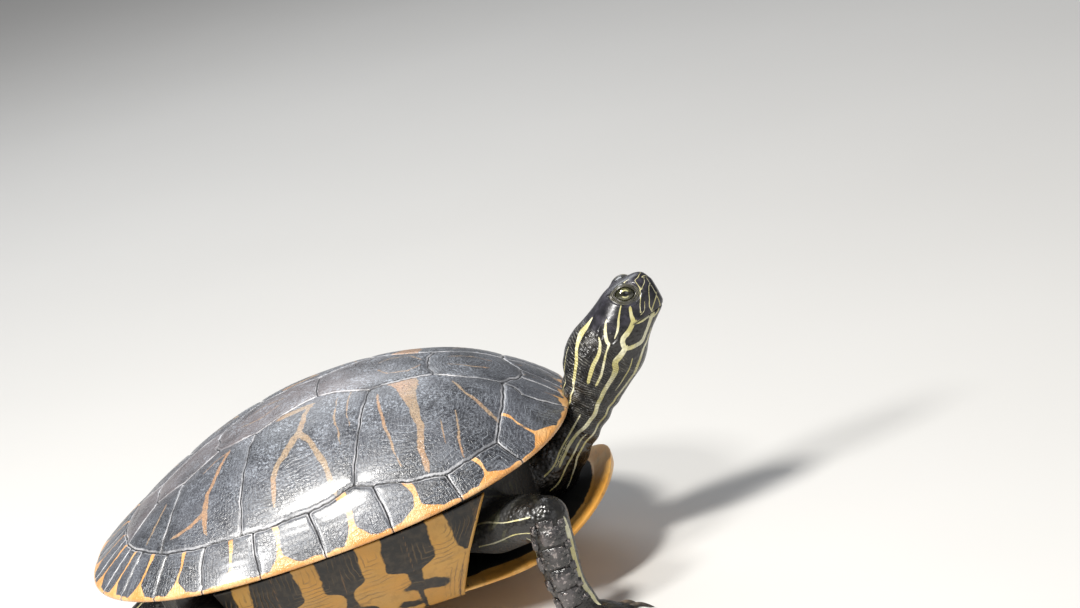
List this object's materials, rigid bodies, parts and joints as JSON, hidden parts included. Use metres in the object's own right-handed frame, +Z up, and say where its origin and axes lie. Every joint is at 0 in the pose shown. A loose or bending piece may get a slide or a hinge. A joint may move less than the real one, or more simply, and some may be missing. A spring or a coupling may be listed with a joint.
{
  "type": "basking cooter turtle",
  "caption": "Life-size still cooter turtle, front raised on straight forelegs, neck stretched up, striped skin, domed dark shell with pale bars.",
  "frame": {"origin": "on the floor under the middle of the whole figure", "axes": "+X the way the turtle faces, +Y its left, +Z up"},
  "size_m": [0.3438, 0.2738, 0.1439],
  "materials": {
    "carapace": "satin slate-black horn with pale orange bars and fine growth rings",
    "plastron": "satin orange-yellow horn, dark blotches on the bridge",
    "skin": "fine-scaled black skin with cream-yellow stripes",
    "eye": "wet gloss",
    "claw": "dark horn, satin"
  },
  "bodies": {
    "root": {"carapace": "carapace", "plastron": "plastron", "bridge_right": "plastron", "bridge_left": "plastron", "trunk": "skin", "neck": "skin", "head": "skin", "jaw": "skin", "eye_right": "eye", "eye_left": "eye", "upper_arm_right": "skin", "forearm_right": "skin", "hand_right": "skin", "upper_arm_left": "skin", "forearm_left": "skin", "hand_left": "skin", "thigh_right": "skin", "shank_right": "skin", "foot_right": "skin", "thigh_left": "skin", "shank_left": "skin", "foot_left": "skin", "tail": "skin"}
  },
  "joints": []
}
